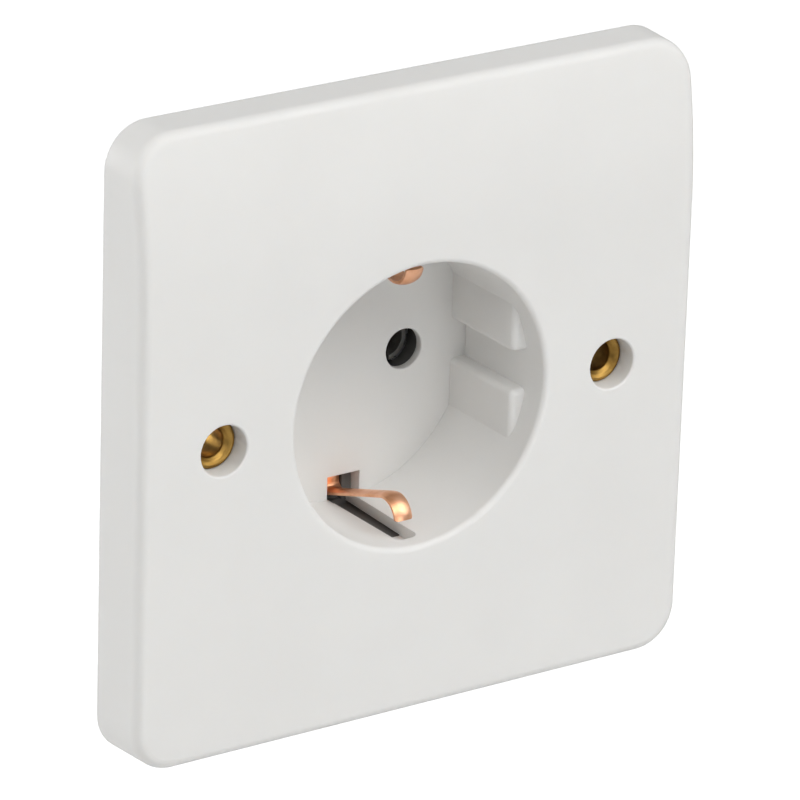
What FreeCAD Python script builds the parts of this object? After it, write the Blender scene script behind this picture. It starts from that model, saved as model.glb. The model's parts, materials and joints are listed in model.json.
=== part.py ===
import FreeCAD, Part
import math
import os
import re
import Sketcher
from FreeCAD import Placement, Rotation, Vector

# Wall socket, type F, on a square British-pattern plate. Millimetres.
# The wall plane is y = 0, the front looks along -Y, +Z is up, and the
# origin is midway between the two fixing holes.

os.makedirs("parts", exist_ok=True)
doc = FreeCAD.newDocument("wall_socket")

# Lengths that differ by less than this are taken as equal
NEAR = 0.01

# Driving dimensions: alias, value, meaning
SIZES = [
    ("plate_width", 86.0, "front plate, across X"),
    ("plate_height", 86.0, "front plate, along Z"),
    ("plate_depth", 9.0, "front plate, wall to front face"),
    ("plate_corner", 6.0, "corner radius seen from the front"),
    ("plate_draft", 0.3, "how far each side leans in towards the front"),
    ("edge_round", 1.5, "round of the front edges"),
    ("bend_radius", 90.0, "arc by which the front's top curves back"),
    ("bend_start", 20.0, "height where that curve starts"),
    ("skin", 2.8, "thickness of the plate's front wall"),
    ("rim_wall", 2.5, "thickness of the plate's side walls"),
    ("rib_width", 1.2, "stiffening ribs behind the plate"),
    ("rib_depth", 2.4, "how far the ribs stand off the skin"),
    ("rib_height", 33.0, "height of the two level ribs"),
    ("fixing_pitch", 60.3, "between the fixing holes"),
    ("fixing_hole_radius", 3.45, "mouth of a fixing hole"),
    ("fixing_hole_round", 0.3, "round of that mouth"),
    ("boss_wall", 1.8, "plastic round the counterbore"),
    ("eyelet_set_in", 2.55, "front face to the eyelet's lip"),
    ("eyelet_lip", 0.95, "height of the eyelet's lip"),
    ("eyelet_dish", 0.5, "how far the lip slopes in"),
    ("eyelet_throat", 2.5, "radius where the lip turns into the bore"),
    ("eyelet_round", 0.35, "round of that turn and of the lip's rim"),
    ("eyelet_bore_radius", 2.0, "bore for the fixing screw"),
    ("eyelet_wall", 0.5, "wall of the eyelet's shank"),
    ("eyelet_gap", 0.05, "eyelet to plate, all round"),
    ("clinch_radius", 3.6, "rolled-over rear end of the eyelet"),
    ("clinch_height", 0.55, "thickness of that rolled end"),
    ("well_radius", 19.4, "plug recess"),
    ("well_depth", 18.2, "front face to the recess floor"),
    ("well_wall", 1.65, "wall of the recess at its mouth"),
    ("well_draft", 0.2, "how much thinner that wall is at the floor"),
    ("collar_wall", 1.0, "collar round that wall, next to the face"),
    ("collar_set_in", 7.2, "front face to the collar's end"),
    ("well_floor", 2.0, "thickness of the recess floor"),
    ("well_round", 0.75, "round of the recess rim"),
    ("guide_face", 17.0, "flat face of the guide blocks, from the axis"),
    ("guide_slot", 5.4, "slot between the two guide blocks of a side"),
    ("guide_set_in", 4.1, "front face to the guide blocks' ends"),
    ("guide_round", 0.8, "round of the guide blocks' ends"),
    ("pin_pitch", 19.0, "between the pin holes"),
    ("pin_hole_radius", 2.8, "pin hole in the recess floor"),
    ("pin_hole_round", 0.2, "round of that hole"),
    ("pin_hole_wall", 1.2, "floor thickness round a pin hole"),
    ("pin_length", 19.0, "plug pin, from the recess floor"),
    ("clip_width", 2.65, "earth spring strip"),
    ("clip_thickness", 0.65, "earth spring strip"),
    ("clip_root", 19.0, "where the clip passes the floor, from the axis"),
    ("clip_root_bend", 1.0, "bend at the base strap, centreline"),
    ("strap_eye", 2.8, "round eye of the base strap"),
    ("clip_peak", 13.65, "corner of the lower clip's contact bend, from the axis"),
    ("clip_peak_set_in", 4.3, "front face to that corner"),
    ("clip_tip", 17.0, "end of the lower clip's lip, from the axis"),
    ("clip_tip_set_in", 3.3, "front face to the lip's end"),
    ("upper_clip_peak", 14.85, "the same for the upper clip, which lies nearer the wall"),
    ("upper_clip_peak_set_in", 3.3, "front face to that corner"),
    ("upper_clip_tip", 18.2, "end of the upper clip's lip, from the axis"),
    ("upper_clip_tip_set_in", 2.6, "front face to the lip's end"),
    ("clip_bend", 3.0, "contact bends, centreline"),
    ("clip_tip_round", 0.3, "corners of the clips' ends"),
    ("clip_crown", 0.3, "bulge of the strip's plug side across its width"),
    ("floor_slot_width", 5.1, "slot in the recess floor"),
    ("floor_slot_inner", 15.9, "inner end of that slot, from the axis"),
    ("slot_offset", 0.45, "axis to the middle of the floor slots"),
    ("wall_slot_width", 3.9, "slot in the recess wall, at the floor"),
    ("wall_slot_end_width", 3.35, "the same at its front end"),
    ("wall_slot_set_in", 2.7, "front face to the wall slot"),
    ("wall_slot_corner", 1.1, "corner radius of its front end"),
    ("wall_slot_offset", 0.33, "axis to the middle of the wall slots"),
    ("post_spacing", 39.2, "between the four housing screws"),
    ("post_radius", 3.1, "posts for the housing screws"),
    ("post_reach", 5.4, "posts past the wall plane"),
    ("post_gap", 0.4, "round and behind a post"),
    ("lug_wall", 0.9, "housing wall round a post's pocket"),
    ("frame_width", 49.0, "housing frame round the recess"),
    ("frame_corner", 6.0, "its corner radius"),
    ("frame_gap", 0.3, "frame to plate, and frame to recess wall"),
    ("shoulder", 2.4, "terminal base behind the recess floor"),
    ("block_width", 35.0, "rear block, across X"),
    ("block_height", 38.0, "rear block, along Z"),
    ("block_corner", 4.0, "its corner radius"),
    ("block_back", 30.6, "back of the rear block, from the wall plane"),
    ("housing_round", 1.0, "round of the housing's back edges"),
    ("back_wall", 1.6, "plastic behind the pin chambers"),
    ("chamber_radius", 4.0, "pin chambers"),
    ("sleeve_radius", 2.5, "inside of a contact sleeve"),
    ("sleeve_wall", 0.6, "wall of a contact sleeve"),
    ("sleeve_slit", 1.0, "slit of a contact sleeve"),
    ("sleeve_set_back", 2.2, "recess floor's back to the sleeve"),
    ("grip_wall", 0.5, "steel ring round a sleeve"),
    ("grip_length", 2.2, "length of that ring"),
    ("grip_set_back", 0.2, "sleeve's mouth to that ring"),
    ("tail_width", 5.0, "strip from sleeve to terminal"),
    ("tail_thickness", 0.8, "that strip"),
    ("stake_radius", 1.25, "stake that holds the strip on the terminal"),
    ("stake_head", 1.9, "radius of the stake's head"),
    ("stake_head_height", 0.5, "that head"),
    ("terminal_width", 9.0, "terminal block, X and Z"),
    ("terminal_depth", 10.0, "terminal block, Y"),
    ("terminal_gap", 0.2, "round a terminal block"),
    ("terminal_height", 11.6, "terminal centre above or below the axis"),
    ("terminal_back", 27.0, "back of the upper terminals, from the wall plane"),
    ("wire_bore_radius", 1.8, "wire hole in a terminal"),
    ("wire_bore_set_in", 5.5, "terminal's back face to the wire hole"),
    ("wire_bore_end", 1.0, "metal left past the wire hole"),
    ("wire_entry_radius", 2.4, "wire entry in the housing"),
    ("screw_radius", 1.75, "terminal screw"),
    ("screw_gap", 0.05, "round a screw in its hole"),
    ("screw_head_radius", 2.6, "terminal screw's head"),
    ("screw_head_height", 2.2, "terminal screw's head"),
    ("screw_open", 0.4, "upper terminal screws stand this far off"),
    ("driver_slot", 0.9, "width of a screw's slot"),
    ("driver_slot_depth", 1.0, "depth of a screw's slot"),
    ("fastener_radius", 1.5, "housing screw"),
    ("fastener_gap", 0.02, "housing screw in its post, all round"),
    ("fastener_bite", 6.0, "housing screw in its post"),
    ("fastener_head", 2.8, "housing screw's head radius"),
    ("fastener_head_height", 1.8, "housing screw's head"),
    ("saddle_width", 8.0, "earth saddle strip"),
    ("saddle_thickness", 0.8, "earth saddle strip"),
    ("saddle_bend", 1.2, "its bends, centreline"),
    ("saddle_gap", 0.3, "saddle to the housing's sides"),
    ("saddle_pad", 4.3, "saddle's end past the fixing hole"),
    ("saddle_tongue", 16.2, "reach of the saddle's tongue below the axis"),
    ("earth_post_radius", 2.4, "earth post"),
    ("earth_spigot", 1.3, "riveted ends of the earth post"),
    ("earth_head", 2.1, "radius of those riveted heads"),
    ("earth_head_height", 0.7, "height of those heads"),
    ("overrun", 1.0, "how far a cut runs past the face that it opens"),
    ("bite", 0.5, "how far a joined lump runs into its carrier"),
]

sheet = doc.addObject("Spreadsheet::Sheet", "Sizes")
for row, (alias, size, meaning) in enumerate(SIZES, start=1):
    sheet.set(f"A{row}", alias)
    sheet.set(f"B{row}", str(size))
    sheet.set(f"C{row}", meaning)
    sheet.setAlias(f"B{row}", alias)

# Lengths that follow from the driving dimensions: alias, formula
DERIVED = [
    ("front", "-plate_depth"),
    ("half_width", "plate_width / 2"),
    ("half_height", "plate_height / 2"),
    ("skin_back", "front + skin"),
    ("fixing_x", "fixing_pitch / 2"),
    ("boss_radius", "fixing_hole_radius + boss_wall"),
    ("lip_front", "front + eyelet_set_in"),
    ("lip_seat", "lip_front + eyelet_lip"),
    ("lip_radius", "fixing_hole_radius - eyelet_gap"),
    ("shank_radius", "eyelet_bore_radius + eyelet_wall"),
    ("pad_back", "-clinch_height"),
    ("pad_front", "pad_back - saddle_thickness"),
    ("floor_front", "front + well_depth"),
    ("floor_back", "floor_front + well_floor"),
    ("well_outer", "well_radius + well_wall"),
    ("collar_radius", "well_outer + collar_wall"),
    ("collar_back", "front + collar_set_in"),
    ("guide_front", "front + guide_set_in"),
    ("pin_x", "pin_pitch / 2"),
    ("wall_slot_front", "front + wall_slot_set_in"),
    ("post_x", "post_spacing / 2"),
    ("frame_front", "skin_back + frame_gap"),
    ("frame_half", "frame_width / 2"),
    ("cavity_radius", "well_outer + frame_gap"),
    ("shoulder_back", "floor_back + shoulder"),
    ("block_half_x", "block_width / 2"),
    ("block_half_z", "block_height / 2"),
    ("chamber_back", "block_back - back_wall"),
    ("sleeve_front", "floor_back + sleeve_set_back"),
    ("sleeve_outer", "sleeve_radius + sleeve_wall"),
    ("sleeve_back", "floor_front + pin_length"),
    ("grip_front", "sleeve_front + grip_set_back"),
    ("terminal_front", "terminal_back - terminal_depth"),
    ("tail_front", "terminal_front - tail_thickness"),
    ("terminal_half", "terminal_width / 2"),
    ("pocket_half", "terminal_half + terminal_gap"),
    ("earth_front", "block_back - terminal_depth"),
    ("strap_back", "floor_back + clip_thickness"),
    ("saddle_back", "block_back + saddle_thickness"),
    ("thread_radius", "screw_radius + screw_gap"),
    ("lug_radius", "post_radius + post_gap + lug_wall"),
]
sheet.recompute()
for row, (alias, formula) in enumerate(DERIVED, start=len(SIZES) + 2):
    sheet.set(f"A{row}", alias)
    sheet.set(f"B{row}", f"={formula}")
    sheet.setAlias(f"B{row}", alias)
    sheet.recompute()
ALIASES = {alias for alias, *rest in SIZES + DERIVED}
reading = doc.addObject("Spreadsheet::Sheet", "Reading")


def bound(formula):
    """The formula with the sheet's name before each alias."""
    return re.sub(r"[a-z_]+", lambda word: "Sizes." + word[0] if word[0] in ALIASES else word[0], str(formula))


def value(formula):
    """What a formula gives now, in millimetres."""
    reading.set("A1", f"={bound(formula)}")
    reading.recompute()
    return float(reading.get("A1"))


def place(thing, x, y, z, rotation=Rotation()):
    """Bind a piece's position to three formulas."""
    thing.Placement = Placement(Vector(value(x), value(y), value(z)), rotation)
    for axis, formula in zip("xyz", (x, y, z)):
        thing.setExpression(f"Placement.Base.{axis}", bound(formula))


def box(name, x, y, z):
    """A block between three pairs of formulas."""
    block = doc.addObject("Part::Box", name)
    for side, (low, high) in zip(("Length", "Width", "Height"), (x, y, z)):
        block.setExpression(side, bound(f"({high}) - ({low})"))
    place(block, x[0], y[0], z[0])
    return block


def centred_box(name, half_x, y, half_z):
    return box(name, (f"-({half_x})", half_x), y, (f"-({half_z})", half_z))


def mirrored(side, low, high):
    """The span from low to high, or for the side "-" the same span below zero."""
    return (low, high) if side == "" else (f"-({high})", f"-({low})")


ALONG_Y = Rotation(Vector(1, 0, 0), -90)
ALONG_X = Rotation(Vector(0, 1, 0), 90)


def rod(name, radius, x, y, z, rotation=ALONG_Y):
    """A cylinder; the pair of formulas among x, y and z gives its two ends."""
    bar = doc.addObject("Part::Cylinder", name)
    bar.setExpression("Radius", bound(radius))
    low, high = [pair for pair in (x, y, z) if isinstance(pair, tuple)][0]
    bar.setExpression("Height", bound(f"({high}) - ({low})"))
    base = [pair[0] if isinstance(pair, tuple) else pair for pair in (x, y, z)]
    place(bar, *base, rotation)
    return bar


def fuse(name, shapes):
    joined = doc.addObject("Part::MultiFuse", name)
    joined.Shapes = shapes
    joined.Refine = True
    return joined


def common(name, shapes):
    shared = doc.addObject("Part::MultiCommon", name)
    shared.Shapes = shapes
    return shared


def cut(name, base, tools):
    """Base less its tools; each tool has to take something away."""
    tool = fuse(name + "_tools", tools) if len(tools) > 1 else tools[0]
    left = doc.addObject("Part::Cut", name)
    left.Base = base
    left.Tool = tool
    left.Refine = True
    doc.recompute()
    for each in tools:
        if base.Shape.common(each.Shape).Volume < NEAR ** 3:
            raise RuntimeError(f"{each.Name} takes nothing from {base.Name}")
    return left


def rounded(name, base, radius, wanted):
    """Fillet the edges of base for which wanted(edge) holds."""
    doc.recompute()
    numbers = [number for number, edge in enumerate(base.Shape.Edges, start=1) if wanted(edge)]
    if not numbers:
        raise RuntimeError(f"{name} finds no edge to round")
    fillet = doc.addObject("Part::Fillet", name)
    fillet.Base = base
    fillet.Edges = [(number, value(radius), value(radius)) for number in numbers]
    doc.recompute()
    if fillet.Shape.isNull() or fillet.Shape.Volume >= base.Shape.Volume:
        raise RuntimeError(f"{name} takes nothing from {base.Name}")
    return fillet


def straight_along(edge, direction):
    if edge.Curve.TypeId != "Part::GeomLine":
        return False
    run = edge.lastVertex().Point - edge.firstVertex().Point
    return run.cross(direction).Length < 0.1 * run.Length


def circle_at(edge, radius, y):
    """True for an edge that is a whole or part circle about a Y axis, at that depth."""
    curve = edge.Curve
    if curve.TypeId != "Part::GeomCircle":
        return False
    return abs(curve.Radius - value(radius)) < NEAR and abs(curve.Center.y - value(y)) < NEAR


def draw(body, name, plane, corners):
    """A closed polygon on an origin plane of the body; its corners are pairs of formulas."""
    sketch = body.newObject("Sketcher::SketchObject", name)
    origin_plane = [item for item in body.Origin.OriginFeatures if item.Role == plane][0]
    sketch.AttachmentSupport = [(origin_plane, "")]
    sketch.MapMode = "FlatFace"
    points = [Vector(value(u), value(v), 0) for u, v in corners]
    count = len(corners)
    for index in range(count):
        sketch.addGeometry(Part.LineSegment(points[index], points[(index + 1) % count]), False)
    for index in range(count):
        sketch.addConstraint(Sketcher.Constraint("Coincident", index, 2, (index + 1) % count, 1))
    for index, corner in enumerate(corners):
        for kind, formula, here in zip(("DistanceX", "DistanceY"), corner, points[index]):
            number = sketch.addConstraint(Sketcher.Constraint(kind, -1, 1, index, 1, here))
            sketch.setExpression(f"Constraints[{number}]", bound(formula))
    return sketch


def turned(name, profile):
    """A piece turned about its own Y axis; the profile is pairs of radius and y."""
    body = doc.addObject("PartDesign::Body", name)
    sketch = draw(body, name + "_profile", "XY_Plane", profile)
    turning = body.newObject("PartDesign::Revolution", name + "_turning")
    turning.Profile = sketch
    turning.ReferenceAxis = (sketch, ["V_Axis"])
    turning.Angle = 360
    return body


def prism(name, corners, width):
    """A polygon in the YZ plane, spread evenly to both sides of x = 0."""
    body = doc.addObject("PartDesign::Body", name)
    sketch = draw(body, name + "_section", "YZ_Plane", corners)
    pad = body.newObject("PartDesign::Pad", name + "_pad")
    pad.Profile = sketch
    pad.SideType = "Symmetric"
    pad.setExpression("Length", bound(width))
    return body


def folded_strip(points, bends, thickness, width, across):
    """A folded strip: its centreline's corners, the bend at each inner corner, its section.

    The centreline lies at right angles to the unit vector across, along which the strip is wide.
    """
    directions = [(after - before).normalize() for before, after in zip(points, points[1:])]
    normals = [across.cross(direction) for direction in directions]
    outline = []
    for sign in (1, -1):
        half = sign * thickness / 2
        start = points[0] + normals[0] * half
        for i, bend in enumerate(bends):
            towards = 1 if normals[i].dot(directions[i + 1]) > 0 else -1
            setback = bend * math.tan(directions[i].getAngle(directions[i + 1]) / 2)
            centre = points[i + 1] - directions[i] * setback + normals[i] * (towards * bend)
            reach = half - towards * bend
            halfway = (normals[i] + normals[i + 1]).normalize()
            first, middle, last = (centre + side * reach for side in (normals[i], halfway, normals[i + 1]))
            outline.append(Part.LineSegment(start, first).toShape())
            outline.append(Part.Arc(first, middle, last).toShape())
            start = last
        outline.append(Part.LineSegment(start, points[-1] + normals[-1] * half).toShape())
    for point, normal in ((points[0], normals[0]), (points[-1], normals[-1])):
        ends = [point + normal * (thickness / 2), point - normal * (thickness / 2)]
        outline.append(Part.LineSegment(*ends).toShape())
    face = Part.Face(Part.Wire(Part.__sortEdges__(outline)))
    face.translate(across * (-width / 2))
    return face.extrude(across * width)


def crowned_strip(points, bends, thickness, width, crown, across):
    """A folded strip whose outer side bulges across its width, swept along its centreline."""
    directions = [(after - before).normalize() for before, after in zip(points, points[1:])]
    centreline = []
    start = points[0]
    for i, bend in enumerate(bends):
        setback = bend * math.tan(directions[i].getAngle(directions[i + 1]) / 2)
        inward = (directions[i + 1] - directions[i]).normalize()
        first = points[i + 1] - directions[i] * setback
        last = points[i + 1] + directions[i + 1] * setback
        middle = points[i + 1] + inward * (math.hypot(setback, bend) - bend)
        centreline.append(Part.LineSegment(start, first).toShape())
        centreline.append(Part.Arc(first, middle, last).toShape())
        start = last
    centreline.append(Part.LineSegment(start, points[-1]).toShape())
    normal = across.cross(directions[0])
    side = across * (width / 2)
    heights = (-thickness / 2, thickness / 2 - crown, thickness / 2)
    flat, edge, top = (points[0] + normal * height for height in heights)
    section = Part.Wire([Part.LineSegment(flat - side, flat + side).toShape(),
                         Part.LineSegment(flat + side, edge + side).toShape(),
                         Part.Arc(edge + side, top, edge - side).toShape(),
                         Part.LineSegment(edge - side, flat - side).toShape()])
    return Part.Wire(centreline).makePipeShell([section], True, False)


def wedge(name, front, front_x, back, back_x, front_z, back_z=None):
    """A block that tapers along Y; each x is a middle and a half width, each z a half height."""
    block = doc.addObject("Part::Wedge", name)
    block.setExpression("Ymin", bound(front))
    block.setExpression("Ymax", bound(back))
    for end, (middle, half), height in (("", front_x, front_z), ("2", back_x, back_z or front_z)):
        block.setExpression(f"X{end}min", bound(f"({middle}) - ({half})"))
        block.setExpression(f"X{end}max", bound(f"({middle}) + ({half})"))
        block.setExpression(f"Z{end}min", bound(f"-({height})"))
        block.setExpression(f"Z{end}max", bound(height))
    return block


POST_SIDES = [("-", ""), ("", ""), ("-", "-"), ("", "-")]


def front_plate():
    """One moulding: plate, plug recess, guide blocks, bosses, ribs and posts."""
    blank = wedge("plate_blank", "front", ("0", "half_width - plate_draft"), "0", ("0", "half_width"),
                  "half_height - plate_draft", "half_height")
    corner = rounded("plate_corners", blank, "plate_corner",
                     lambda edge: edge.Length < 2 * value("plate_depth"))

    # everything behind the front face: flat below bend_start, an arc above it
    behind = box("behind_face", ("-plate_width", "plate_width"), ("front", "plate_depth"),
                 ("-plate_height", "bend_start"))
    behind_arc = rod("behind_arc", "bend_radius", ("-plate_width", "plate_width"),
                     "front + bend_radius", "bend_start", ALONG_X)
    curved = common("curved_plate", [corner, fuse("behind_front", [behind, behind_arc])])
    plate = rounded("plate_edges", curved, "edge_round", on_front_rim)

    # the plate is a shell, open to the wall and following the curved top
    inside = box("inside_box", ("-half_width + rim_wall", "half_width - rim_wall"),
                 ("skin_back", "overrun"), ("-half_height + rim_wall", "half_height - rim_wall"))
    inside_corners = rounded("inside_corners", inside, "plate_corner - rim_wall",
                             lambda edge: straight_along(edge, Vector(0, 1, 0)))
    inner_flat = box("inner_flat", ("-plate_width", "plate_width"), ("skin_back", "plate_depth"),
                     ("-plate_height", "bend_start"))
    inner_arc = rod("inner_arc", "bend_radius - skin", ("-plate_width", "plate_width"),
                    "front + bend_radius", "bend_start", ALONG_X)
    hollow = common("hollow", [inside_corners, fuse("behind_skin", [inner_flat, inner_arc])])
    shell = cut("plate_shell", plate, [hollow])

    lumps = [shell]
    rib_y = ("skin_back - bite", "skin_back + rib_depth")
    for side, word in (("", "upper"), ("-", "lower")):
        lumps.append(box(f"{word}_rib", ("-half_width + rim_wall - bite", "half_width - rim_wall + bite"),
                         rib_y, (f"{side}rib_height - rib_width / 2", f"{side}rib_height + rib_width / 2")))
    for side, word in (("-", "left"), ("", "right")):
        lumps.append(box(f"{word}_rib", (f"{side}fixing_x - rib_width / 2", f"{side}fixing_x + rib_width / 2"),
                         rib_y, ("-rib_height", "rib_height")))
        lumps.append(rod(f"{word}_boss", "boss_radius", f"{side}fixing_x",
                         ("skin_back - bite", "pad_front"), "0"))
    well = doc.addObject("Part::Cone", "well_outside")
    well.setExpression("Radius1", bound("well_outer"))
    well.setExpression("Radius2", bound("well_outer - well_draft"))
    well.setExpression("Height", bound("floor_back - skin_back + bite"))
    place(well, "0", "skin_back - bite", "0", ALONG_Y)
    lumps.append(well)
    lumps.append(rod("collar", "collar_radius", "0", ("skin_back - bite", "collar_back"), "0"))
    for number, (x, z) in enumerate(POST_SIDES, start=1):
        lumps.append(rod(f"post_{number}", "post_radius", f"{x}post_x",
                         ("skin_back - bite", "post_reach"), f"{z}post_x"))
    solid = fuse("plate_with_lumps", lumps)

    # the recess, less the guide blocks that stay in it
    recess = rod("recess_round", "well_radius", "0", ("front - overrun", "floor_front"), "0")
    blocks = []
    for x_side in ("-", ""):
        for z_side in ("-", ""):
            blocks.append(box(f"guide_{len(blocks) + 1}",
                              mirrored(x_side, "guide_face", "well_radius + overrun"),
                              ("guide_front", "floor_front + overrun"),
                              mirrored(z_side, "guide_slot / 2", "well_radius")))
    tools = [cut("recess", recess, blocks)]
    for side, word in (("-", "left"), ("", "right")):
        tools.append(rod(f"{word}_pin_hole", "pin_hole_radius", f"{side}pin_x",
                         ("floor_front - overrun", "floor_back + overrun"), "0"))
        tools.append(rod(f"{word}_pin_relief", "chamber_radius", f"{side}pin_x",
                         ("floor_front + pin_hole_wall", "floor_back + overrun"), "0"))
        tools.append(rod(f"{word}_counterbore", "fixing_hole_radius", f"{side}fixing_x",
                         ("front - overrun", "lip_seat"), "0"))
        tools.append(rod(f"{word}_shank_hole", "shank_radius + eyelet_gap", f"{side}fixing_x",
                         ("lip_seat - overrun", "0"), "0"))
    for side, word in (("", "upper"), ("-", "lower")):
        tools.append(box(f"{word}_floor_slot",
                         ("slot_offset - floor_slot_width / 2", "slot_offset + floor_slot_width / 2"),
                         ("floor_front - overrun", "floor_back + overrun"),
                         mirrored(side, "floor_slot_inner", "well_radius")))
        inside_wall = f"{side}(well_radius - bite)"
        outside = f"{side}(collar_radius + overrun)"
        # through the wall, but not through the collar, which closes the slot's front end from below
        section = prism(f"{word}_slot_section", [
            ("wall_slot_front", inside_wall), ("wall_slot_front", f"{side}well_outer"),
            ("collar_back", f"{side}well_outer"), ("collar_back", outside),
            ("floor_back + overrun", outside), ("floor_back + overrun", inside_wall)], "2 * floor_slot_width")
        taper = wedge(f"{word}_slot_taper", "wall_slot_front", ("wall_slot_offset", "wall_slot_end_width / 2"),
                      "floor_back + overrun", ("wall_slot_offset", "wall_slot_width / 2"), "plate_height")
        tools.append(rounded(f"{word}_wall_slot", common(f"{word}_slot_core", [section, taper]),
                             "wall_slot_corner", on_slot_end))
    for number, (x, z) in enumerate(POST_SIDES, start=1):
        tools.append(rod(f"post_bore_{number}", "fastener_radius + fastener_gap", f"{x}post_x",
                         ("post_reach - fastener_bite - overrun", "post_reach + overrun"), f"{z}post_x"))
    tools.append(rod("rivet_pocket", "earth_head + screw_gap", "0",
                     ("floor_back - earth_head_height - screw_gap", "floor_back + overrun"), "0"))
    opened = cut("opened_plate", solid, tools)

    mouth = rounded("recess_rim", opened, "well_round", lambda edge: circle_at(edge, "well_radius", "front"))
    holes = rounded("hole_rims", mouth, "fixing_hole_round",
                    lambda edge: circle_at(edge, "fixing_hole_radius", "front"))
    pins = rounded("pin_rims", holes, "pin_hole_round",
                   lambda edge: circle_at(edge, "pin_hole_radius", "floor_front"))
    return rounded("guide_rims", pins, "guide_round", on_guide_corner)


def on_front_rim(edge):
    """True for an edge of the flat or curved front face that runs round its outside."""
    front, start, radius = value("front"), value("bend_start"), value("bend_radius")
    for point in edge.discretize(5):
        rise = max(point.z - start, 0)
        if abs(point.y - (front + radius - math.sqrt(radius ** 2 - rise ** 2))) > NEAR:
            return False
    middle = edge.discretize(3)[1]
    reach = value("plate_width") / 2 - value("plate_corner")
    return abs(middle.x) > reach or abs(middle.z) > reach


def on_slot_end(edge):
    """True for the two upright edges at the front end of a wall slot."""
    return straight_along(edge, Vector(0, 0, 1)) and abs(edge.CenterOfMass.y - value("wall_slot_front")) < NEAR


def on_guide_corner(edge):
    """True for the three edges that meet at a guide block's corner by the slot."""
    face, slot, end = value("guide_face"), value("guide_slot") / 2, value("guide_front")
    points = edge.discretize(3)
    at_end = all(abs(p.y - end) < NEAR and abs(abs(p.x) - face) < NEAR for p in points)
    beside_slot = all(abs(abs(p.x) - face) < NEAR and abs(abs(p.z) - slot) < NEAR for p in points)
    across_end = all(abs(p.y - end) < NEAR and abs(abs(p.z) - slot) < NEAR for p in points)
    return at_end or beside_slot or across_end


def upright(name, half_x, y, half_z, corner):
    """A block whose four edges along Y are rounded."""
    return rounded(name, centred_box(name + "_box", half_x, y, half_z), corner,
                   lambda edge: straight_along(edge, Vector(0, 1, 0)))


def tub(name, half_x, y, half_z, corner):
    """The same with a rounded back edge."""
    back = value(y[1])
    return rounded(name, upright(name + "_corners", half_x, y, half_z, corner), "housing_round",
                   lambda edge: all(abs(point.y - back) < NEAR for point in edge.discretize(3)))


def with_lugs(name, block, y):
    """The block joined with a lug round each housing screw, which shows where the screw lies far out."""
    lugs = [rod(f"{name}_lug_{number}", "lug_radius", f"{x}post_x", y, f"{z}post_x")
            for number, (x, z) in enumerate(POST_SIDES, start=1)]
    return fuse(name, [block] + lugs)


def housing_frame():
    """Dark frame round the recess, clamped between the plate and the terminal base."""
    outline = upright("frame_outline", "frame_half", ("frame_front", "floor_back"), "frame_half", "frame_corner")
    tools = [rod("well_cavity", "cavity_radius", "0",
                 ("frame_front - overrun", "floor_back + overrun"), "0"),
             rod("collar_room", "collar_radius + frame_gap", "0",
                 ("frame_front - overrun", "collar_back + frame_gap"), "0")]
    for number, (x, z) in enumerate(POST_SIDES, start=1):
        tools.append(rod(f"post_pocket_{number}", "post_radius + post_gap", f"{x}post_x",
                         ("frame_front - overrun", "post_reach + post_gap"), f"{z}post_x"))
        tools.append(rod(f"frame_hole_{number}", "fastener_radius + terminal_gap", f"{x}post_x",
                         ("post_reach", "floor_back + overrun"), f"{z}post_x"))
    return cut("frame", with_lugs("frame_blank", outline, ("frame_front", "floor_back")), tools)


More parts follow.
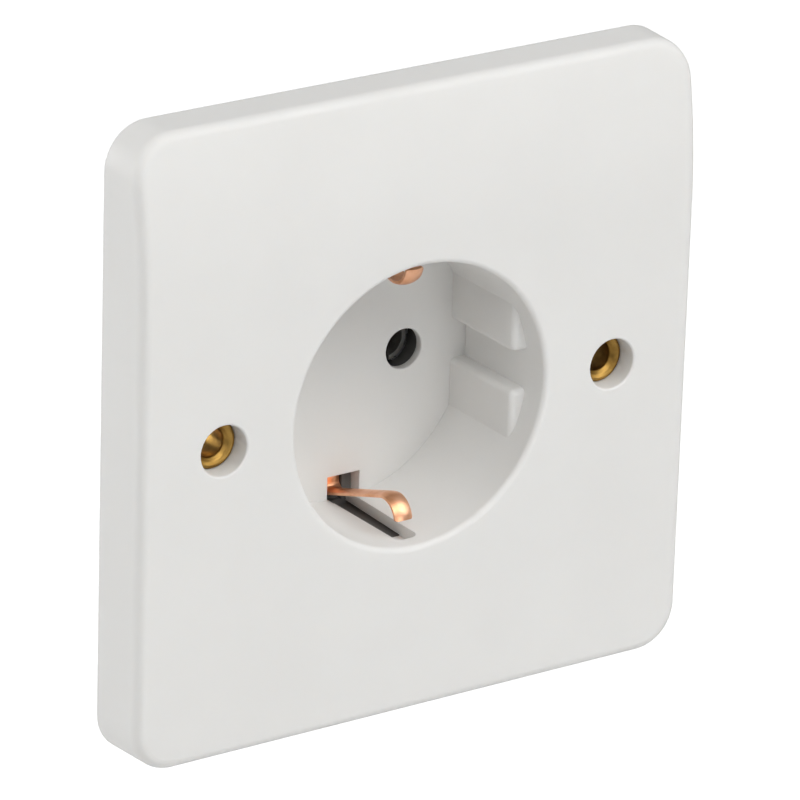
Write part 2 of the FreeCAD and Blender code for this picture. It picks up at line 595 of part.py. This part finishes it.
def terminal_base():
    """Dark base behind the recess floor with the pin chambers and the terminals' pockets."""
    shoulder = tub("shoulder", "frame_half", ("floor_back", "shoulder_back"), "frame_half", "frame_corner")
    seat = with_lugs("seat", shoulder, ("floor_back", "shoulder_back - housing_round"))
    block = tub("block", "block_half_x", ("shoulder_back - bite", "block_back"), "block_half_z", "block_corner")
    heads = fuse("head_room", [rod(f"head_room_{number}", "fastener_head + terminal_gap", f"{x}post_x",
                                   ("shoulder_back", "block_back + overrun"), f"{z}post_x")
                               for number, (x, z) in enumerate(POST_SIDES, start=1)])
    clear_block = doc.addObject("Part::Cut", "block_clear_of_heads")
    clear_block.Base = block
    clear_block.Tool = heads
    tools = [centred_box("strap_groove", "clip_width / 2 + terminal_gap",
                         ("floor_back - overrun", "strap_back + screw_gap"), "well_radius + overrun"),
             rod("eye_recess", "strap_eye + terminal_gap", "0",
                 ("floor_back - overrun", "strap_back + screw_gap"), "0"),
             rod("earth_post_hole", "earth_post_radius + screw_gap", "0",
                 ("floor_back", "block_back + overrun"), "0"),
             box("earth_pocket", ("-pocket_half", "pocket_half"),
                 ("earth_front - terminal_gap", "block_back + overrun"),
                 ("-terminal_height - pocket_half", "-terminal_height + pocket_half")),
             rod("earth_wire_entry", "wire_entry_radius", "0", "block_back - wire_bore_set_in",
                 ("-block_half_z - overrun", "-terminal_height - pocket_half + overrun"), Rotation())]
    for side, word in (("-", "left"), ("", "right")):
        x = f"{side}pin_x"
        tools.append(rod(f"{word}_pin_chamber", "chamber_radius", x,
                         ("floor_back - overrun", "chamber_back"), "0"))
        tools.append(box(f"{word}_tail_slot",
                         (f"{x} - tail_width / 2 - terminal_gap", f"{x} + tail_width / 2 + terminal_gap"),
                         ("floor_back - overrun", "terminal_front + terminal_gap"), ("0", "terminal_height")))
        tools.append(box(f"{word}_terminal_pocket", (f"{x} - pocket_half", f"{x} + pocket_half"),
                         ("floor_back - overrun", "terminal_back"),
                         ("terminal_height - pocket_half", "terminal_height + pocket_half")))
        tools.append(rod(f"{word}_screw_access", "screw_head_radius + terminal_gap", x,
                         ("terminal_back - overrun", "block_back + overrun"), "terminal_height"))
        tools.append(rod(f"{word}_wire_entry", "wire_entry_radius", x, "terminal_back - wire_bore_set_in",
                         ("terminal_height + pocket_half - overrun", "block_half_z + overrun"), Rotation()))
    for number, (x, z) in enumerate(POST_SIDES, start=1):
        tools.append(rod(f"base_hole_{number}", "fastener_radius + terminal_gap", f"{x}post_x",
                         ("floor_back - overrun", "shoulder_back + overrun"), f"{z}post_x"))
    return cut("base", fuse("base_blank", [seat, clear_block]), tools)


def eyelet(side):
    """Brass eyelet in a fixing hole: dished lip, shank, rear end rolled over."""
    blank = turned(side + "_eyelet_blank", [
        ("lip_radius", "lip_front"), ("eyelet_throat", "lip_front + eyelet_dish"),
        ("eyelet_bore_radius", "lip_front + eyelet_dish + eyelet_wall"), ("eyelet_bore_radius", "0"),
        ("clinch_radius", "0"), ("clinch_radius", "pad_back"), ("shank_radius", "pad_back"),
        ("shank_radius", "lip_seat"), ("lip_radius", "lip_seat")])
    place(blank, "-fixing_x" if side == "left" else "fixing_x", "0", "0")
    return rounded(side + "_eyelet", blank, "eyelet_round", lambda edge: (
        circle_at(edge, "eyelet_throat", "lip_front + eyelet_dish")
        or circle_at(edge, "lip_radius", "lip_front")
        or circle_at(edge, "eyelet_bore_radius", "lip_front + eyelet_dish + eyelet_wall")))


def earth_spring():
    """One copper-alloy strip: base strap behind the recess floor and both earth clips."""
    corners = [("front + clip_tip_set_in", "-clip_tip"), ("front + clip_peak_set_in", "-clip_peak"),
               ("floor_back + clip_thickness / 2", "-clip_root"),
               ("floor_back + clip_thickness / 2", "clip_root"),
               ("front + upper_clip_peak_set_in", "upper_clip_peak"),
               ("front + upper_clip_tip_set_in", "upper_clip_tip")]
    line = [Vector(0, value(y), value(z)) for y, z in corners]
    bends = [value("clip_bend"), value("clip_root_bend"), value("clip_root_bend"), value("clip_bend")]
    strip = doc.addObject("Part::Feature", "spring_strip")
    strip.Shape = crowned_strip(line, bends, value("clip_thickness"), value("clip_width"), value("clip_crown"),
                                Vector(1, 0, 0))
    ends = [line[0], line[-1]]
    tips = rounded("spring_tips", strip, "clip_tip_round", lambda edge: any(
        (edge.CenterOfMass - end).Length < value("clip_width / 2 + bite") for end in ends)
        and abs(edge.Length - value("clip_thickness - clip_crown")) < NEAR)
    eye = rod("strap_eye", "strap_eye", "0", ("floor_back", "strap_back"), "0")
    return cut("spring", fuse("spring_blank", [tips, eye]), [
        rod("spigot_hole", "earth_spigot + screw_gap", "0",
            ("floor_back - overrun", "strap_back + overrun"), "0")])


def earth_saddle():
    """Strip that joins both eyelets behind the housing and carries the earth terminal."""
    half = value("saddle_thickness / 2")
    pad_y = value("pad_front") + half
    shoulder_y = value("shoulder_back") + half
    back_y = value("block_back") + half
    pad_x = value("fixing_x + saddle_pad")
    frame_x = value("frame_half + saddle_gap") + half
    block_x = value("block_half_x + saddle_gap") + half
    right = [Vector(block_x, back_y, 0), Vector(block_x, shoulder_y, 0), Vector(frame_x, shoulder_y, 0),
             Vector(frame_x, pad_y, 0), Vector(pad_x, pad_y, 0)]
    left = [Vector(-point.x, point.y, 0) for point in reversed(right)]
    shape = folded_strip(left + right, [value("saddle_bend")] * 8, value("saddle_thickness"),
                         value("saddle_width"), Vector(0, 0, 1))
    strip = doc.addObject("Part::Feature", "saddle_strip")
    strip.Shape = shape
    tongue = centred_box("tongue", "saddle_width / 2", ("block_back", "saddle_back"), "saddle_tongue")
    lower_half = box("tongue_lower", ("-saddle_width", "saddle_width"),
                     ("block_back - overrun", "saddle_back + overrun"), ("-2 * saddle_tongue", "0"))
    blank = fuse("saddle_blank", [strip, common("tongue_half", [tongue, lower_half])])
    holes = [rod("saddle_post_hole", "earth_spigot + screw_gap", "0",
                 ("block_back - overrun", "saddle_back + overrun"), "0"),
             rod("saddle_screw_hole", "screw_radius + terminal_gap", "0",
                 ("block_back - overrun", "saddle_back + overrun"), "-terminal_height")]
    for side, word in (("-", "left"), ("", "right")):
        holes.append(rod(f"saddle_{word}_hole", "shank_radius + eyelet_gap", f"{side}fixing_x",
                         ("pad_front - overrun", "0"), "0"))
    return cut("saddle", blank, holes)


def earth_post():
    """Brass post from the spring's strap to the saddle, riveted over at both ends."""
    return turned("post", [
        ("0", "floor_back - earth_head_height"), ("earth_head", "floor_back - earth_head_height"),
        ("earth_head", "floor_back"), ("earth_spigot", "floor_back"), ("earth_spigot", "strap_back"),
        ("earth_post_radius", "strap_back"), ("earth_post_radius", "block_back"), ("earth_spigot", "block_back"),
        ("earth_spigot", "saddle_back"), ("earth_head", "saddle_back"),
        ("earth_head", "saddle_back + earth_head_height"), ("0", "saddle_back + earth_head_height")])


def contact(word, x):
    """Brass contact: slit sleeve for the plug pin, with a strip to its terminal."""
    wide = ("sleeve_front - overrun", "sleeve_back + overrun")
    tube = rod(f"{word}_sleeve_outside", "sleeve_outer", x, ("sleeve_front", "sleeve_back"), "0")
    sleeve = cut(f"{word}_sleeve", tube, [
        rod(f"{word}_sleeve_bore", "sleeve_radius", x, wide, "0"),
        box(f"{word}_sleeve_slit", (f"{x} - sleeve_slit / 2", f"{x} + sleeve_slit / 2"), wide,
            ("-sleeve_outer - overrun", "0"))])
    tail = box(f"{word}_tail", (f"{x} - tail_width / 2", f"{x} + tail_width / 2"),
               ("tail_front", "terminal_front"), ("0", "terminal_height + tail_width / 2"))
    through = ("tail_front - overrun", "terminal_front + overrun")
    return cut(f"{word}_stamping", fuse(f"{word}_contact_blank", [sleeve, tail]), [
        rod(f"{word}_tail_hole", "stake_radius + screw_gap", x, through, "terminal_height"),
        rod(f"{word}_tail_relief", "sleeve_radius", x, through, "0")])


def grip(word, x):
    """Open steel ring that presses a sleeve on its pin."""
    span = ("grip_front", "grip_front + grip_length")
    wide = ("grip_front - overrun", "grip_front + grip_length + overrun")
    return cut(f"{word}_ring", rod(f"{word}_ring_outside", "sleeve_outer + grip_wall", x, span, "0"),
               [rod(f"{word}_ring_bore", "sleeve_outer", x, wide, "0"),
                box(f"{word}_ring_gap", (f"{x} - sleeve_slit", f"{x} + sleeve_slit"), wide,
                    ("-sleeve_outer - overrun", "0"))])


def terminal(word, x, z, back, wire_from, staked):
    """Brass pillar terminal: wire hole from above or below, screw from the back."""
    front = f"{back} - terminal_depth"
    blank = box(f"{word}_pillar", (f"{x} - terminal_half", f"{x} + terminal_half"), (front, back),
                (f"{z} - terminal_half", f"{z} + terminal_half"))
    wire_y = f"{back} - wire_bore_set_in"
    if wire_from == "above":
        wire_span = (f"{z} - terminal_half + wire_bore_end", f"{z} + terminal_half + overrun")
    else:
        wire_span = (f"{z} - terminal_half - overrun", f"{z} + terminal_half - wire_bore_end")
    lumps = [blank]
    if staked:
        lumps.append(rod(f"{word}_stake", "stake_radius", x,
                         ("tail_front - bite / 2", "terminal_front + bite"), z))
        lumps.append(rod(f"{word}_stake_head", "stake_head", x,
                         ("tail_front - stake_head_height", "tail_front"), z))
    solid = fuse(f"{word}_pillar_blank", lumps) if staked else blank
    return cut(f"{word}_block", solid, [
        rod(f"{word}_wire_bore", "wire_bore_radius", x, wire_y, wire_span, Rotation()),
        rod(f"{word}_thread", "thread_radius", x, (wire_y, f"{back} + overrun"), z)])


def screw(name, x, z, tip, seat, shank, head, head_height):
    """Cheese-head screw along Y with a driver slot."""
    blank = turned(name + "_blank", [
        ("0", tip), (shank, tip), (shank, seat), (head, seat), (head, f"{seat} + {head_height}"),
        ("0", f"{seat} + {head_height}")])
    place(blank, x, "0", z)
    slot = box(name + "_slot", (f"{x} - screw_head_radius - overrun", f"{x} + screw_head_radius + overrun"),
               (f"{seat} + {head_height} - driver_slot_depth", f"{seat} + {head_height} + overrun"),
               (f"{z} - driver_slot / 2", f"{z} + driver_slot / 2"))
    return cut(name + "_body", blank, [slot])


nodes = {
    "front_plate": front_plate(),
    "housing_frame": housing_frame(),
    "terminal_base": terminal_base(),
    "left_eyelet": eyelet("left"),
    "right_eyelet": eyelet("right"),
    "earth_spring": earth_spring(),
    "earth_saddle": earth_saddle(),
    "earth_post": earth_post(),
    "earth_terminal": terminal("earth", "0", "-terminal_height", "block_back", "below", False),
    "earth_terminal_screw": screw("earth_screw", "0", "-terminal_height",
                                  "block_back - wire_bore_set_in + wire_bore_radius + screw_gap", "saddle_back",
                                  "screw_radius", "screw_head_radius", "screw_head_height"),
}
for word, x in (("neutral", "-pin_x"), ("line", "pin_x")):
    nodes[f"{word}_contact"] = contact(word, x)
    nodes[f"{word}_contact_ring"] = grip(word, x)
    nodes[f"{word}_terminal"] = terminal(word, x, "terminal_height", "terminal_back", "above", True)
    nodes[f"{word}_terminal_screw"] = screw(
        f"{word}_screw", x, "terminal_height", "terminal_back - wire_bore_set_in + wire_bore_radius + screw_gap",
        "terminal_back + screw_open", "screw_radius", "screw_head_radius", "screw_head_height")
for number, (x, z) in enumerate(POST_SIDES, start=1):
    nodes[f"housing_screw_{number}"] = screw(
        f"fastener_{number}", f"{x}post_x", f"{z}post_x", "post_reach - fastener_bite", "shoulder_back",
        "fastener_radius", "fastener_head", "fastener_head_height")

doc.recompute()
for thing in doc.Objects:
    if {"Invalid", "Error"} & set(thing.State):
        raise RuntimeError(f"{thing.Name} is {thing.State}")
for name, piece in nodes.items():
    if piece.Shape.isNull() or not piece.Shape.isValid() or len(piece.Shape.Solids) != 1:
        raise RuntimeError(f"{name} is not one valid solid")
for name, piece in nodes.items():
    piece.Label = name
    piece.Shape.exportStep(f"parts/{name}.step")
    print(f"{name}: {piece.Shape.Volume:.1f} mm3")
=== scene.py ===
import json
import math

import bpy
from mathutils import Matrix, Vector

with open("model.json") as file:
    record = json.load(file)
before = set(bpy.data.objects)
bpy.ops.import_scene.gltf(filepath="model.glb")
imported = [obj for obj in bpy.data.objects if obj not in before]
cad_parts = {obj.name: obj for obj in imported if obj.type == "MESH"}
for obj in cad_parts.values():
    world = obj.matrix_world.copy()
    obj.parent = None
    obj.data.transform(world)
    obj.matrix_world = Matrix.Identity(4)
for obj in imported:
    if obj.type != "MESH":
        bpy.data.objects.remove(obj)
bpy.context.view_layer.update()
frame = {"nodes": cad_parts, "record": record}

# Camera: angles in degrees, lengths in metres, lens and sensor in millimetres
AZIMUTH = 34.76
ELEVATION = 21.77
ROLL = 1.81
DISTANCE = 0.85155
TARGET = Vector((0.00274, 0.0, -0.00270))
LENS = 294.9
SENSOR = 36.0
VIEW_END = 50.0

# Studio: lengths in metres
WHITE = (1.0, 1.0, 1.0, 1.0)
FLOOR_HEIGHT = -0.60
FLOOR_SIZE = 12.0
FLOOR_COLOUR = (0.92, 0.92, 0.92, 1.0)
FLOOR_ROUGHNESS = 0.9
FLOOR_GLOW = 0.88
AMBIENT = 0.02
REFLECTED = 0.35
LIGHTS = [
    # name, direction from the object, distance, width, height, watts
    ("key", Vector((0.08, -0.60, 0.76)), 1.8, 2.4, 1.2, 23.0),
    ("key_left", Vector((-0.90, -0.50, 0.50)), 1.8, 1.2, 1.2, 5.6),
    ("key_right", Vector((0.65, -0.60, 0.60)), 1.8, 1.2, 1.2, 8.2),
    ("front", Vector((0.05, -1.0, 0.0)), 2.4, 1.2, 1.2, 9.6),
    ("top", Vector((0.10, 0.25, 1.0)), 1.8, 2.4, 1.2, 4.0),
    ("side", Vector((-1.0, 0.80, 0.25)), 1.8, 1.2, 1.2, 18.2),
]

# Noise textures, whose values mostly lie between these; their scales are per metre
NOISE_LOW = 0.3
NOISE_HIGH = 0.7

# Moulded plastic
PLASTIC_DETAIL = 4.0
MOTTLE_SCALE = 60.0
MOTTLE_STOPS = (0.35, 0.65)
GLOSS_SCALE = 220.0
GRAIN_DETAIL = 6.0
GRAIN_STRENGTH = 0.35
PLASTIC_IOR = 1.49
SEEP_RADIUS = (1.0, 0.92, 0.84)
SEEP_SCALE = 0.002

# Metal sheet and wire
METAL_DETAIL = 5.0
TARNISH_SCALE = 420.0
TARNISH_STOPS = (0.38, 0.60)
MARK_SCALE = 700.0
MARK_STRENGTH = 0.3
MARK_DEPTH = 0.00001

# By how much a metal's noise is squeezed along X, Y and Z, so that it looks drawn or turned
FINE_ALONG_X = (3.0, 1.0, 1.0)
FINE_ALONG_Y = (1.0, 6.0, 1.0)
FINE_ALONG_Z = (1.0, 1.0, 6.0)
TURNED_ROUND_Y = (1.0, 8.0, 1.0)
EVEN = None


def new_material(name):
    """A node material: its tree, its Principled shader and its object coordinates."""
    material = bpy.data.materials.new(name)
    material.use_nodes = True
    tree = material.node_tree
    shader = tree.nodes["Principled BSDF"]
    coordinates = tree.nodes.new("ShaderNodeTexCoord")
    return material, tree, shader, coordinates.outputs["Object"]


def noise(tree, place, scale, detail, squeeze=EVEN):
    """A noise texture in object space, finer along an axis where squeeze says so."""
    texture = tree.nodes.new("ShaderNodeTexNoise")
    texture.inputs["Scale"].default_value = scale
    texture.inputs["Detail"].default_value = detail
    if squeeze:
        mapping = tree.nodes.new("ShaderNodeMapping")
        mapping.inputs["Scale"].default_value = squeeze
        tree.links.new(place, mapping.inputs["Vector"])
        place = mapping.outputs["Vector"]
    tree.links.new(place, texture.inputs["Vector"])
    return texture.outputs["Fac"]


def blend(tree, factor, stops, dark, light):
    """Dark up to the first stop, light from the second, and a blend between them."""
    node = tree.nodes.new("ShaderNodeValToRGB")
    for element, position, colour in zip(node.color_ramp.elements, stops, (dark, light)):
        element.position = position
        element.color = (*colour, 1.0)
    tree.links.new(factor, node.inputs["Fac"])
    return node.outputs["Color"]


def span(tree, factor, limits):
    """The middle of a noise factor's range spread between two limits."""
    node = tree.nodes.new("ShaderNodeMapRange")
    node.inputs["From Min"].default_value = NOISE_LOW
    node.inputs["From Max"].default_value = NOISE_HIGH
    node.inputs["To Min"].default_value = limits[0]
    node.inputs["To Max"].default_value = limits[1]
    tree.links.new(factor, node.inputs["Value"])
    return node.outputs["Result"]


def bump(tree, shader, height, strength, distance):
    """Relief that the shader's normal follows."""
    node = tree.nodes.new("ShaderNodeBump")
    node.inputs["Strength"].default_value = strength
    node.inputs["Distance"].default_value = distance
    tree.links.new(height, node.inputs["Height"])
    tree.links.new(node.outputs["Normal"], shader.inputs["Normal"])


def plastic(name, light, dark, roughness, grain_scale, grain_depth, glow):
    """Moulded plastic: faint mottling, uneven gloss, the mould's texture, and light that seeps through."""
    material, tree, shader, place = new_material(name)
    tone = noise(tree, place, MOTTLE_SCALE, PLASTIC_DETAIL)
    tree.links.new(blend(tree, tone, MOTTLE_STOPS, dark, light), shader.inputs["Base Color"])
    gloss = noise(tree, place, GLOSS_SCALE, PLASTIC_DETAIL)
    tree.links.new(span(tree, gloss, roughness), shader.inputs["Roughness"])
    grain = noise(tree, place, grain_scale, GRAIN_DETAIL)
    bump(tree, shader, grain, GRAIN_STRENGTH, grain_depth)
    shader.inputs["IOR"].default_value = PLASTIC_IOR
    shader.inputs["Subsurface Weight"].default_value = glow
    shader.inputs["Subsurface Radius"].default_value = SEEP_RADIUS
    shader.inputs["Subsurface Scale"].default_value = SEEP_SCALE
    return material


def metal(name, light, dark, roughness, squeeze):
    """Metal: tarnish in patches, and fine marks, which look drawn or turned where squeeze says so."""
    material, tree, shader, place = new_material(name)
    tone = noise(tree, place, TARNISH_SCALE, METAL_DETAIL)
    tree.links.new(blend(tree, tone, TARNISH_STOPS, dark, light), shader.inputs["Base Color"])
    marks = noise(tree, place, MARK_SCALE, METAL_DETAIL, squeeze)
    tree.links.new(span(tree, marks, roughness), shader.inputs["Roughness"])
    bump(tree, shader, marks, MARK_STRENGTH, MARK_DEPTH)
    shader.inputs["Metallic"].default_value = 1.0
    return material


def all_materials():
    """A material for each slot of the record. Colours are linear, light before dark."""
    plastics = [
        # name, light, dark, roughness, grain scale, grain depth, glow
        ("white_plastic", (0.802, 0.798, 0.780), (0.788, 0.783, 0.765), (0.46, 0.58), 2600.0, 0.000012, 0.3),
        ("dark_plastic", (0.150, 0.148, 0.142), (0.125, 0.123, 0.118), (0.48, 0.60), 1800.0, 0.00003, 0.0),
    ]
    metals = [
        # name, light, dark, roughness, squeeze
        ("eyelet_brass", (0.41, 0.245, 0.064), (0.25, 0.142, 0.033), (0.30, 0.44), TURNED_ROUND_Y),
        ("spring_bronze", (0.93, 0.53, 0.34), (0.80, 0.40, 0.22), (0.30, 0.44), FINE_ALONG_X),
        ("contact_brass", (0.82, 0.62, 0.32), (0.60, 0.43, 0.20), (0.28, 0.42), FINE_ALONG_Y),
        ("contact_nickel", (0.66, 0.65, 0.62), (0.54, 0.53, 0.50), (0.40, 0.55), FINE_ALONG_Y),
        ("plated_steel", (0.66, 0.66, 0.63), (0.52, 0.52, 0.50), (0.30, 0.44), FINE_ALONG_Z),
        ("screw_steel", (0.66, 0.66, 0.65), (0.50, 0.50, 0.50), (0.26, 0.40), EVEN),
        ("spring_steel", (0.50, 0.50, 0.52), (0.38, 0.38, 0.40), (0.22, 0.34), FINE_ALONG_Y),
    ]
    made = {row[0]: plastic(*row) for row in plastics}
    made.update({row[0]: metal(*row) for row in metals})
    return made


def dress_parts():
    """Each node of the frame gets the material of its slot."""
    materials = all_materials()
    for part in frame["record"]["subparts"]:
        node = frame["nodes"][part["node"]]
        node.data.materials.clear()
        node.data.materials.append(materials[part["material_slot"]])


def strength_by_ray(tree, camera, glossy, other):
    """A strength for what the camera sees, one for reflections and one for all other rays."""
    path = tree.nodes.new("ShaderNodeLightPath")
    strength = None
    for output, extra in (("Is Camera Ray", camera - other), ("Is Glossy Ray", glossy - other)):
        term = tree.nodes.new("ShaderNodeMath")
        term.operation = "MULTIPLY_ADD"
        tree.links.new(path.outputs[output], term.inputs[0])
        term.inputs[1].default_value = extra
        if strength:
            tree.links.new(strength, term.inputs[2])
        else:
            term.inputs[2].default_value = other
        strength = term.outputs[0]
    return strength


def pale_world():
    """White where the camera looks, grey in reflections, and next to no light of its own."""
    world = bpy.data.worlds.new("studio")
    bpy.context.scene.world = world
    world.use_nodes = True
    tree = world.node_tree
    background = tree.nodes["Background"]
    background.inputs["Color"].default_value = WHITE
    strength = strength_by_ray(tree, 1.0, REFLECTED, AMBIENT)
    tree.links.new(strength, background.inputs["Strength"])


def pale_floor():
    """A plain floor that takes shadows and reads as white to the camera."""
    half = FLOOR_SIZE / 2
    corners = [(x, y, FLOOR_HEIGHT) for x, y in ((-half, -half), (half, -half), (half, half), (-half, half))]
    mesh = bpy.data.meshes.new("floor")
    mesh.from_pydata(corners, [], [(0, 1, 2, 3)])
    floor = bpy.data.objects.new("floor", mesh)
    bpy.context.scene.collection.objects.link(floor)
    material, tree, shader, _ = new_material("pale_floor")
    shader.inputs["Base Color"].default_value = FLOOR_COLOUR
    shader.inputs["Roughness"].default_value = FLOOR_ROUGHNESS
    shader.inputs["Emission Color"].default_value = WHITE
    tree.links.new(strength_by_ray(tree, FLOOR_GLOW, 0.0, 0.0), shader.inputs["Emission Strength"])
    mesh.materials.append(material)


def soft_lights():
    """Broad lamps round the object, each turned towards it."""
    for name, direction, distance, width, height, watts in LIGHTS:
        lamp = bpy.data.lights.new(name, "AREA")
        lamp.shape = "RECTANGLE"
        lamp.size = width
        lamp.size_y = height
        lamp.energy = watts
        holder = bpy.data.objects.new(name, lamp)
        holder.location = TARGET + direction.normalized() * distance
        holder.rotation_euler = direction.to_track_quat("Z", "Y").to_euler()
        bpy.context.scene.collection.objects.link(holder)


def place_camera():
    """The photograph's camera, from its angles about the object."""
    azimuth, elevation, roll = (math.radians(angle) for angle in (AZIMUTH, ELEVATION, ROLL))
    back = Vector((-math.sin(azimuth) * math.cos(elevation),
                   -math.cos(azimuth) * math.cos(elevation),
                   math.sin(elevation)))
    level = (-back).cross(Vector((0.0, 0.0, 1.0))).normalized()
    upright = level.cross(-back)
    right = level * math.cos(roll) + upright * math.sin(roll)
    up = upright * math.cos(roll) - level * math.sin(roll)
    turn = Matrix((right, up, back)).transposed().to_4x4()
    data = bpy.data.cameras.new("camera")
    data.lens = LENS
    data.sensor_width = SENSOR
    data.clip_end = VIEW_END
    camera = bpy.data.objects.new("camera", data)
    camera.matrix_world = Matrix.Translation(TARGET + back * DISTANCE) @ turn
    bpy.context.scene.collection.objects.link(camera)
    bpy.context.scene.camera = camera


dress_parts()
place_camera()
pale_world()
pale_floor()
soft_lights()
bpy.context.scene.view_settings.view_transform = "Standard"
